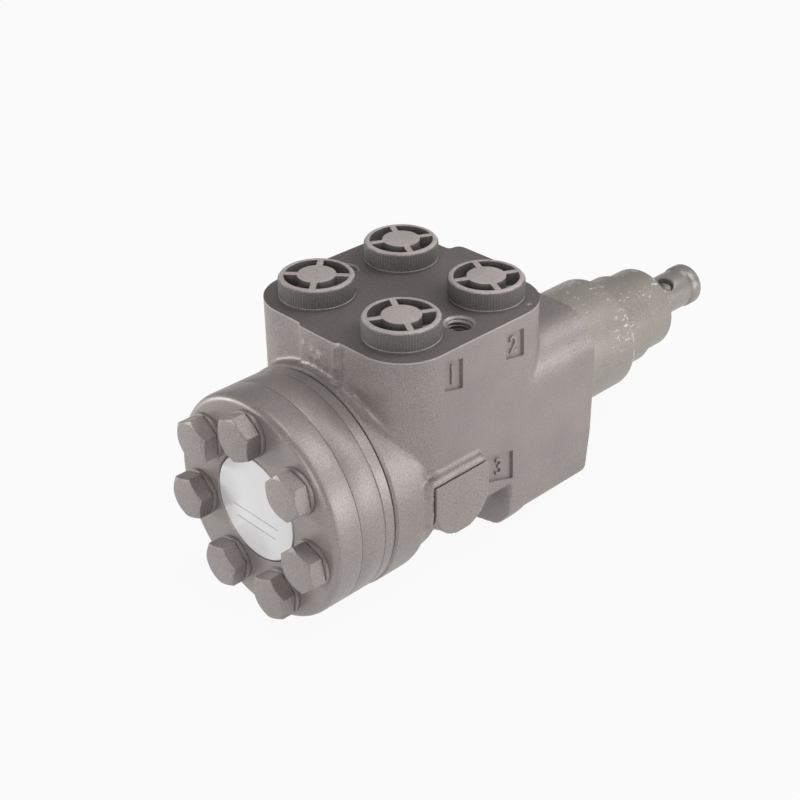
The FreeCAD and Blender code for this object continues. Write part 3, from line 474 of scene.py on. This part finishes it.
threads = bmesh.new()
for spot in plugs.values():
    thread(threads, port_r, 10.5, 1.81, -port_depth + 0.5, -0.9, (spot.x, spot.y, port_face), (0, 0, 1), 48)
for mouth, way, depth in tapped:
    thread(threads, m10_r, 4.25, 1.5, -depth + 1.0, -0.7, mouth, way)
finished("housing_threads", threads, "housing", cast_paint, stands_for=False)


# Cast marks on the side wall. Each is a plain number that stands up from the floor of its
# frame; the mould makes both, and the primer rounds them off.

mark_stands = 11.0
marks = bmesh.new()
for number, corners in frames.items():
    letter = bpy.data.curves.new("mark", "FONT")
    letter.body = number
    letter.align_x = "CENTER"
    letter.align_y = "CENTER"
    letter.extrude = 0.045
    letter.bevel_depth = 0.02
    letter.bevel_resolution = 2
    letter.resolution_u = 6
    shown = bpy.data.objects.new("mark", letter)
    bpy.context.scene.collection.objects.link(shown)
    depsgraph = bpy.context.evaluated_depsgraph_get()
    flat = bpy.data.meshes.new_from_object(shown.evaluated_get(depsgraph), depsgraph=depsgraph)
    bpy.data.objects.remove(shown)
    before = set(marks.verts)
    marks.from_mesh(flat)
    new = [v for v in marks.verts if v not in before]
    low = [min(v.co[k] for v in new) for k in range(2)]
    high = [max(v.co[k] for v in new) for k in range(2)]
    middle = sum((Vector((0, ports_y + y, z)) for y, z in corners), Vector()) / 4
    right = Vector((0, corners[1][0] - corners[0][0], corners[1][1] - corners[0][1]))
    rise = Vector((0, corners[0][0] - corners[3][0], corners[0][1] - corners[3][1]))
    scale = 0.66 / (high[1] - low[1])
    right = right.normalized() * rise.length * 0.92
    place = Matrix.Identity(4)
    place.col[0] = (*(right * scale), 0)
    place.col[1] = (*(rise * scale), 0)
    place.col[2] = (mark_stands, 0, 0, 0)
    place.col[3] = (half_side - frame_depth, *middle.yz, 1)
    centre = Matrix.Translation((-(low[0] + high[0]) / 2, -(low[1] + high[1]) / 2, 0))
    bmesh.ops.transform(marks, matrix=place @ centre, verts=new)
finished("cast_numbers", marks, "housing", cast_paint, stands_for=False, sharp=60)


# Distributor plate and gear ring. Ground steel discs between the housing and the cover; only
# their rims are seen, turned smooth and sprayed with the rest once the stack is bolted.

machined_paint = sprayed("machined_primer", [c * 1.04 for c in primer], grit=0.035, lumps=0.03, rough=0.4)
gear_low, gear_high = reach("gear_ring")
plate_high = reach("distributor_plate")[1].y
stack_r = gear_high.x
lobe_circle, lobe_r, pocket_r = 28.0, 7.0, 26.6


def stack_piece(name, profile, node):
    """Turned disc with the seven screw holes through it."""
    disc, cuts = bmesh.new(), bmesh.new()
    turned(disc, profile, steps=180, closed=profile[0][1] > 0)
    low_y, high_y = min(y for y, r in profile) - 1, max(y for y, r in profile) + 1
    for x, z in screw_spots:
        turned(cuts, [(low_y, 0), (low_y, screw_hole), (high_y, screw_hole), (high_y, 0)], (x, 0, z), steps=32)
    finished(name, settled(disc, [], cuts), node, machined_paint)


def broken_edge(y, r, into, size=0.3):
    """Three points that round a rim's edge; into is +1 where the piece lies towards +Y."""
    return [(y, r - size), (y + into * size * 0.3, r - size * 0.3), (y + into * size, r)]


plate = [(gear_high.y, 12.0), (gear_high.y, stack_r - 0.5), (gear_high.y + 0.5, stack_r)]
plate += [(plate_high - 1.0, stack_r), (plate_high - 0.75, stack_r - 0.3), (plate_high - 0.6, stack_r - 0.9),
          (plate_high, stack_r - 1.0), (plate_high, 12.0)]
stack_piece("distributor_disc", plate, "distributor_plate")

ring = bmesh.new()


def hoop(radius, x, z, steps):
    """Circle across the shaft on the ring's front face."""
    place = Matrix.Translation((x, gear_low.y, z)) @ Matrix.Rotation(math.radians(90), 4, "X")
    return bmesh.ops.create_circle(ring, cap_ends=False, segments=steps, radius=radius, matrix=place)["verts"]


hoop(stack_r, 0, 0, 180)
for x, z in screw_spots:
    hoop(screw_hole, x, z, 32)
for v in hoop(pocket_r, 0, 0, 252):
    off = math.radians((math.degrees(math.atan2(v.co.z, v.co.x)) - 90 + 180 / 7) % (360 / 7) - 180 / 7)
    half_chord = lobe_r ** 2 - (lobe_circle * math.sin(off)) ** 2
    if half_chord > 0:
        near = min(pocket_r, lobe_circle * math.cos(off) - math.sqrt(half_chord))
        v.co.x *= near / pocket_r
        v.co.z *= near / pocket_r
flat = bmesh.ops.triangle_fill(ring, use_beauty=True, edges=ring.edges[:], normal=(0, -1, 0))["geom"]
flat = [g for g in flat if isinstance(g, bmesh.types.BMFace)]
back = bmesh.ops.extrude_face_region(ring, geom=flat)["geom"]
bmesh.ops.translate(ring, vec=(0, gear_high.y - gear_low.y, 0),
                    verts=[g for g in back if isinstance(g, bmesh.types.BMVert)])
rims = []
for e in ring.edges:
    one, two = e.verts
    if abs(one.co.y - two.co.y) < 0.01 and min(one.co.xz.length, two.co.xz.length) > stack_r - 0.1:
        rims.append(e)
bmesh.ops.bevel(ring, geom=rims, offset=0.3, affect="EDGES", segments=2, profile=0.5, material=-1)
finished("lobed_ring", ring, "gear_ring", machined_paint)


# End cover. A turned iron disc with a rounded rim and a shallow round seat for the name plate;
# it closes the gear set and takes the clamp of the seven screws.

cover_low = reach("end_cover")[0].y
badge_r = reach("name_plate")[1].x
badge_t = 0.6
rim_r = 3.0
cover = [(cover_low + badge_t, 0), (cover_low + badge_t, badge_r + 0.1), (cover_low + 1.3, badge_r + 0.2),
         (cover_low + 1.3, badge_r + 0.6), (cover_low + 0.3, badge_r + 0.8), (cover_low, badge_r + 1.1)]
for i in range(9):
    a = math.radians(90 - 90 / 8 * i)
    cover.append((cover_low + rim_r * (1 - math.sin(a)), stack_r - rim_r * (1 - math.cos(a))))
cover += broken_edge(gear_low.y, stack_r, -1)[::-1] + [(gear_low.y, 0)]
stack_piece("cover_disc", cover, "end_cover")


# Cover screws and washers. Seven M10 hexagon screws, forged and chamfered, each stopped at its
# own angle over a flat washer, and sprayed over after they were tightened.

screw_paint = sprayed("screw_primer", [c * 1.02 for c in primer], grit=0.05, lumps=0.06, rough=0.42)
head_turns = (26.0, 28.0, 17.0, 16.0, 22.0, 42.0, 43.0)
flat_half = 8.0
head_high = 6.4
washer_t = 1.6
washer_r = 9.0
shank_r = 4.98
thread_root = 4.2
screw_end = ports_y - 33.0
head_slope = math.tan(math.radians(28))


def hexagon(a, turn):
    """Distance from the middle of a hexagon to its side, at an angle in degrees."""
    return flat_half / math.cos(math.radians((a - turn) % 60 - 30))


def head(bm, turn, x, z, seat):
    """Hexagon head whose top corners are turned off to a cone."""
    top = seat - head_high
    angles = [turn + 60 * i + 60 * k / 12 for i in range(6) for k in range(12)]
    crown = flat_half - 0.35

    def ring(radius, level):
        points = []
        for a in angles:
            r = radius(a)
            right, rise = on_circle(a, r)
            points.append(bm.verts.new((x + right, level(r), z + rise)))
        return points

    rings = [ring(lambda a: crown - 0.25, lambda r: top), ring(lambda a: crown, lambda r: top + 0.07),
             ring(lambda a: hexagon(a, turn) - 0.12, lambda r: top + (r - crown) * head_slope),
             ring(lambda a: hexagon(a, turn), lambda r: top + 0.15 + (r - crown) * head_slope),
             ring(lambda a: hexagon(a, turn), lambda r: seat - 0.45),
             ring(lambda a: min(hexagon(a, turn), flat_half + 0.25) - 0.1, lambda r: seat - 0.3),
             ring(lambda a: flat_half - 0.1, lambda r: seat)]
    bm.faces.new(rings[0])
    bm.faces.new(rings[-1][::-1])
    for one, two in zip(rings, rings[1:]):
        edges = []
        for loop in (one, two):
            edges += [bm.edges.get((loop[i - 1], loop[i])) or bm.edges.new((loop[i - 1], loop[i]))
                      for i in range(len(loop))]
        bmesh.ops.bridge_loops(bm, edges=edges)


screws = bmesh.new()
washers = bmesh.new()
for (x, z), turn in zip(screw_spots, head_turns):
    seat = cover_low - washer_t
    head(screws, turn, x, z, seat)
    turned(screws, [(seat - 0.5, 0), (seat - 0.5, shank_r), (screw_end - 14, shank_r),
                    (screw_end - 13.6, thread_root), (screw_end - 0.8, thread_root),
                    (screw_end, thread_root - 0.7), (screw_end, 0)], (x, 0, z), steps=32)
    thread(screws, thread_root, shank_r, 1.5, 0.0, 13.0, (x, screw_end - 13.8, z), (0, 1, 0), 24)
    turned(washers, [(seat, screw_hole), (seat, washer_r - 0.5), (seat + 0.12, washer_r - 0.15),
                     (seat + 0.4, washer_r), (cover_low - 0.15, washer_r), (cover_low, washer_r - 0.15),
                     (cover_low, screw_hole)], (x, 0, z), steps=64, closed=True)
finished("screw_heads", screws, "cover_screws", screw_paint, sharp=20)
finished("washers", washers, "cover_washers", screw_paint)


# Name plate. A white film disc on a thin metal plate, pressed into its seat after spraying;
# it is left bare but for two ruled lines to write on.

plate_low, plate_high = reach("name_plate")
film, tree, shader = finish_nodes("plate_film", 0.0, 0.22)
tree.links.new(shades(tree, grain(tree, 60.0), 0.3, 0.7, (0.91, 0.90, 0.905), (0.94, 0.93, 0.935)),
               shader.inputs["Base Color"])
bumped(tree, shader, (grain(tree, 180.0), 0.02))
badge = bmesh.new()
turned(badge, [(plate_low.y, 0), (plate_low.y, badge_r - 0.25), (plate_low.y + 0.08, badge_r - 0.06),
               (plate_low.y + 0.25, badge_r), (plate_high.y, badge_r), (plate_high.y, 0)], steps=144)
finished("white_plate", badge, "name_plate", film)

ink, tree, shader = finish_nodes("plate_ink", 0.0, 0.35)
tree.links.new(shades(tree, grain(tree, 3000.0), 0.3, 0.7, (0.20, 0.20, 0.20), (0.34, 0.34, 0.34)),
               shader.inputs["Base Color"])
rules = bmesh.new()
for z, half in ((-3.5, 12.5), (-8.2, 11.0)):
    bar(rules, both_sides([(half, z - 0.14, 0.1), (half, z + 0.14, 0.1)]), along, plate_low.y - 0.03,
        plate_low.y + 0.05, 2)
finished("ruled_lines", rules, "name_plate", ink, stands_for=False)


# Port plugs. Dark plastic caps with a knurled rim and a middle disc on four spokes. They keep
# dirt out of the ports and were in place when the unit was sprayed, so paint lies on top.

plastic, tree, shader = finish_nodes("plug_plastic", 0.0, 0.5)
facing = tree.nodes.new("ShaderNodeSeparateXYZ")
tree.links.new(tree.nodes.new("ShaderNodeTexCoord").outputs["Normal"], facing.inputs["Vector"])
settles = both(tree, both(tree, grain(tree, 300.0, 3.0), 0.5), facing.outputs["Z"], "ADD")
mask = shades(tree, settles, 0.62, 1.05, (0, 0, 0), (1, 1, 1))
bare = shades(tree, grain(tree, 1200.0), 0.3, 0.7, (0.125, 0.117, 0.107), (0.165, 0.155, 0.142))
tree.links.new(coloured(tree, "MIX", mask, bare, paint_colour(tree, [c * 1.5 for c in primer])),
               shader.inputs["Base Color"])
bumped(tree, shader, (grain(tree, 1500.0), 0.03))
plug_r, plug_high, rim_in, disc_in, well = 14.35, 8.3, 12.1, 7.3, 5.0
ribs = 84
plug_turns = {"p": 41.0, "t": 63.0, "l": 64.0, "r": 62.0}


def port_plug(key):
    """Cup with a knurled wall, its middle disc, spokes and hollow stub."""
    spot = plugs[key]
    cup = bmesh.new()
    top = plug_high
    stub = 10.2
    base = [(0.0, plug_r), (0.75, plug_r), (0.95, plug_r - 0.15)]
    wall = [(1.05, plug_r - 0.3), (top - 1.15, plug_r - 0.3)]
    crown = [(top - 0.75, plug_r - 0.35), (top - 0.3, plug_r - 0.7), (top, plug_r - 1.3), (top, rim_in + 0.25),
             (top - 0.25, rim_in), (top - well, rim_in - 0.2), (top - well, 0)]
    profile = [(-1.2, 0), (-1.2, 7.4), (-9.0, 7.4), (-9.0, stub - 0.8), (-8.2, stub), (0.0, stub)]
    turned(cup, profile + base + wall + crown, (0, 0, 0), (0, 0, 1), steps=ribs * 3)
    for v in cup.verts:
        out = v.co.xy.length
        if abs(v.co.z - 1.05) < 0.02 or abs(v.co.z - (top - 1.15)) < 0.02:
            step = round(math.degrees(math.atan2(v.co.y, v.co.x)) / (360 / (ribs * 3)))
            if step % 3 == 0:
                v.co.xy *= (plug_r - 0.02) / out
    floor = top - well - 0.4
    turned(cup, [(floor, 0), (floor, disc_in), (top - 0.2, disc_in), (top - 0.05, disc_in - 0.08),
                 (top, disc_in - 0.25), (top, 0)], (0, 0, 0), (0, 0, 1), steps=72)
    for quarter in range(4):
        before = set(cup.verts)
        bar(cup, both_sides([(1.2, floor, 0), (1.2, top - 0.04, 0.2)]), across, disc_in - 0.5, rim_in + 0.4, 3)
        new = [v for v in cup.verts if v not in before]
        quarter_turn = Matrix.Rotation(math.radians(90 * quarter), 3, "Z")
        bmesh.ops.rotate(cup, verts=new, cent=(0, 0, 0), matrix=quarter_turn)
    bmesh.ops.rotate(cup, verts=cup.verts, cent=(0, 0, 0),
                     matrix=Matrix.Rotation(math.radians(plug_turns[key]), 3, "Z"))
    bmesh.ops.translate(cup, vec=(spot.x, spot.y, port_face), verts=cup.verts)
    finished("knurled_plug_" + key, cup, "port_plug_" + key, plastic)


for key in "ptlr":
    port_plug(key)


# Neck. A turned tube in three steps for the column end of the unit, sprayed with a paler coat;
# handling has rubbed its shoulders to white and left scuffs on top.

neck_low, neck_high = reach("neck_housing")
step_one, step_two = ports_y + 112.3, ports_y + 130.5
neck_end = neck_high.y
pale = (0.36, 0.325, 0.295)
worn, tree, shader = finish_nodes("neck_primer", 0.25, 0.42)
black, white = (0, 0, 0), (1, 1, 1)
near_edge = between(tree, "Y", step_one - 1.0, step_one - 0.5)
not_face = between(tree, "Y", step_one - 0.02, step_one - 0.1)
rubbed = shades(tree, grain(tree, 260.0, 4.0), 0.46, 0.56, black, white)
rubbed = both(tree, both(tree, near_edge, not_face), rubbed)
flecks = shades(tree, grain(tree, 620.0, 4.0, (1, 0.5, 1.6)), 0.60, 0.64, black, white)
flecks = both(tree, flecks, shades(tree, grain(tree, 75.0, 2.0), 0.46, 0.58, black, white))
flecks = both(tree, flecks, between(tree, "Z", 2.0, 14.0))
flecks = both(tree, flecks, between(tree, "Y", step_one - 34.0, step_one - 12.0))
bright = both(tree, rubbed, flecks, "MAXIMUM")
tree.links.new(coloured(tree, "MIX", bright, paint_colour(tree, pale), (0.80, 0.78, 0.74)),
               shader.inputs["Base Color"])
rough_from(tree, shader, grain(tree, 700.0), 0.36, 0.5)
bumped(tree, shader, (grain(tree, 1500.0), 0.03), (grain(tree, 300.0), 0.04))
neck = bmesh.new()
turned(neck, [(neck_low.y, 17.6), (neck_low.y, 23.6), (neck_low.y + 0.8, 24.4), (0.1, 24.4), (0.1, 24.8),
              (step_one - 0.8, 24.8), (step_one - 0.35, 24.66), (step_one - 0.1, 24.4), (step_one, 24.0),
              (step_one, 20.9), (step_one + 0.25, 20.3), (step_one + 0.9, 20.0), (step_two - 0.6, 20.0),
              (step_two - 0.1, 19.8), (step_two + 1.4, 18.7), (step_two + 1.9, 18.3), (step_two + 2.6, 18.1),
              (neck_end - 1.2, 18.1), (neck_end - 0.5, 17.8), (neck_end, 17.1), (neck_end, 9.2),
              (neck_end - 2.5, 9.2), (neck_end - 2.5, 12.0), (ports_y + 131.0, 12.0), (ports_y + 131.0, 15.5),
              (ports_y + 128.0, 15.5), (ports_y + 128.0, 17.5), (ports_y + 115.4, 17.5),
              (ports_y + 115.4, 18.3), (ports_y + 113.8, 18.3), (ports_y + 113.8, 17.6)], steps=128, closed=True)
finished("stepped_neck", neck, "neck_housing", worn)


# Input sleeve. The hollow end that the column's shaft goes into: turned steel with a collar,
# cross-drilled for a pin and sprayed outside.

sleeve_low, sleeve_high = reach("coupling_sleeve")
input_paint = sprayed("input_primer", (0.345, 0.315, 0.295), grit=0.04, lumps=0.05, rough=0.36)
tube, pin_hole = bmesh.new(), bmesh.new()
y0, y1 = sleeve_low.y, sleeve_high.y
turned(tube, [(y0, 5.6), (ports_y + 154.0, 5.6), (ports_y + 154.0, 6.0), (y1 - 0.5, 6.0), (y1, 6.5), (y1, 8.0),
              (y1 - 0.15, 8.5), (y1 - 0.6, 9.0), (y1 - 1.3, 9.4), (y1 - 5.6, 9.4), (y1 - 6.0, 9.25),
              (y1 - 6.7, 8.9), (y1 - 7.4, 8.55), (y1 - 8.1, 8.8), (y0 + 0.3, 8.8), (y0, 8.5)],
       steps=96, closed=True)
pin_x, pin_z = on_circle(66, 1)
turned(pin_hole, [(-12, 0), (-12, 4.3), (-8.6, 4.3), (-8.2, 3.9), (8.2, 3.9), (8.6, 4.3), (12, 4.3), (12, 0)],
       (0, ports_y + 160.2, 0), (pin_x, 0, pin_z), steps=48)
finished("hollow_end", settled(tube, [], pin_hole), "coupling_sleeve", input_paint)


# Pieces inside the unit. They keep the shapes that they were machined to: ground steel in the
# valve and gear set, polished bearing steel, blued springs and black rubber seals.


def turned_steel(name, colour, rough, lines):
    """Bare steel with fine tool lines round the shaft axis."""
    material, tree, shader = finish_nodes(name, 1.0, rough)
    tree.links.new(shades(tree, grain(tree, 45.0, 4.0), 0.3, 0.7, [c * 0.9 for c in colour], colour),
                   shader.inputs["Base Color"])
    streaks = grain(tree, lines, 2.0, (0.02, 1.0, 0.02))
    rough_from(tree, shader, streaks, rough - 0.08, rough + 0.1)
    bumped(tree, shader, (streaks, 0.004))
    return material


ground = turned_steel("ground_steel", (0.60, 0.60, 0.59), 0.3, 9000.0)
polished = turned_steel("bearing_steel", (0.74, 0.74, 0.75), 0.16, 5000.0)
blued = turned_steel("blued_spring", (0.25, 0.27, 0.33), 0.34, 6000.0)
rubber, tree, shader = finish_nodes("black_rubber", 0.0, 0.6)
tree.links.new(shades(tree, grain(tree, 500.0, 3.0), 0.3, 0.7, (0.016, 0.016, 0.017), (0.03, 0.03, 0.031)),
               shader.inputs["Base Color"])
bumped(tree, shader, (grain(tree, 2500.0), 0.02))

inside = {
    ground: ("gear_rotor", "spool", "valve_sleeve", "cross_pin", "thrust_cage", "cardan_shaft", "cardan_spacer",
             "check_bush", "suction_pins", "relief_seat", "relief_poppet", "relief_screw", "relief_plug",
             "input_shaft", "bearing_cage"),
    polished: ("thrust_race_inner", "thrust_race_outer", "thrust_needles", "bearing_inner", "bearing_outer",
               "bearing_balls", "check_ball", "suction_ball_r", "suction_ball_l"),
    blued: ("centring_springs", "spring_ring", "relief_spring", "bearing_circlip"),
    rubber: ("shaft_seal", "dust_seal", "seal_rings", "neck_seal"),
}
for material, nodes in inside.items():
    for node in nodes:
        for slot in frame["nodes"][node].material_slots:
            slot.material = material


# Camera, floor, lamps and background. They stand in for the photographer's table: five soft
# boxes round the unit and a white paper sweep that glows in the paint's reflections.

camera = bpy.data.objects.new("camera", bpy.data.cameras.new("camera"))
bpy.context.scene.collection.objects.link(camera)
camera.data.lens = 67.34
camera.data.sensor_width = 36.0
camera.data.clip_start = 0.01
camera.location = (0.35557, -0.40211, 0.31070)
turn = Matrix.Rotation(math.radians(46.4408), 3, "Z") @ Matrix.Rotation(math.radians(90 - 31.1084), 3, "X")
camera.rotation_mode = "QUATERNION"
camera.rotation_quaternion = (turn @ Matrix.Rotation(math.radians(-0.7006), 3, "Z")).to_quaternion()
bpy.context.scene.camera = camera

low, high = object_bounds()
paper = bpy.data.materials.new("paper_sweep")
paper.use_nodes = True
tree = paper.node_tree
tree.nodes["Principled BSDF"].inputs["Base Color"].default_value = (0.6, 0.6, 0.6, 1.0)
tree.nodes["Principled BSDF"].inputs["Roughness"].default_value = 0.9
rays = tree.nodes.new("ShaderNodeLightPath")
glow_share = 0.93
seen = both(tree, rays.outputs["Is Camera Ray"], rays.outputs["Is Glossy Ray"], "MAXIMUM")
glow = tree.nodes.new("ShaderNodeEmission")
glow.inputs["Strength"].default_value = 1.0
mixed = tree.nodes.new("ShaderNodeMixShader")
tree.links.new(both(tree, seen, glow_share), mixed.inputs["Fac"])
tree.links.new(tree.nodes["Principled BSDF"].outputs["BSDF"], mixed.inputs[1])
tree.links.new(glow.outputs["Emission"], mixed.inputs[2])
tree.links.new(mixed.outputs["Shader"], tree.nodes["Material Output"].inputs["Surface"])
sheet = bmesh.new()
bmesh.ops.create_grid(sheet, x_segments=1, y_segments=1, size=6.0)
bmesh.ops.translate(sheet, vec=(0, 0, low.z), verts=sheet.verts)
mesh = bpy.data.meshes.new("floor")
sheet.to_mesh(mesh)
sheet.free()
mesh.materials.append(paper)
floor = bpy.data.objects.new("floor", mesh)
bpy.context.scene.collection.objects.link(floor)


def softbox(name, towards, distance, size, level):
    """Area lamp seen from the object in one direction; level 1 lights a facing wall to its own colour."""
    lamp = bpy.data.objects.new(name, bpy.data.lights.new(name, "AREA"))
    way = Vector(towards).normalized()
    lamp.data.shape = "RECTANGLE"
    lamp.data.size, lamp.data.size_y = size
    lamp.data.energy = level * (math.pi * distance) ** 2
    lamp.location = Vector((0, -0.05, 0.02)) + way * distance
    lamp.rotation_mode = "QUATERNION"
    lamp.rotation_quaternion = way.to_track_quat("Z", "Y")
    bpy.context.scene.collection.objects.link(lamp)


softbox("left_box", (-0.80, -0.59, 0.0), 1.2, (0.4, 0.15), 0.34)
softbox("near_box", (0.35, -0.90, 0.30), 1.2, (0.5, 0.4), 0.26)
softbox("right_box", (0.85, 0.50, 0.12), 1.2, (0.9, 0.5), 0.42)
softbox("back_box", (0.40, 0.59, 0.71), 1.3, (0.7, 0.7), 0.34)
softbox("top_box", (0.0, 0.0, 1.0), 1.3, (0.7, 0.7), 0.24)

world = bpy.data.worlds.new("studio")
bpy.context.scene.world = world
world.use_nodes = True
tree = world.node_tree
rays = tree.nodes.new("ShaderNodeLightPath")
level = tree.nodes.new("ShaderNodeMapRange")
level.inputs["To Min"].default_value = 0.22
level.inputs["To Max"].default_value = 1.0
tree.links.new(rays.outputs["Is Camera Ray"], level.inputs["Value"])
tree.links.new(level.outputs["Result"], tree.nodes["Background"].inputs["Strength"])
tree.nodes["Background"].inputs["Color"].default_value = (1, 1, 1, 1)
bpy.context.scene.view_settings.view_transform = "Standard"
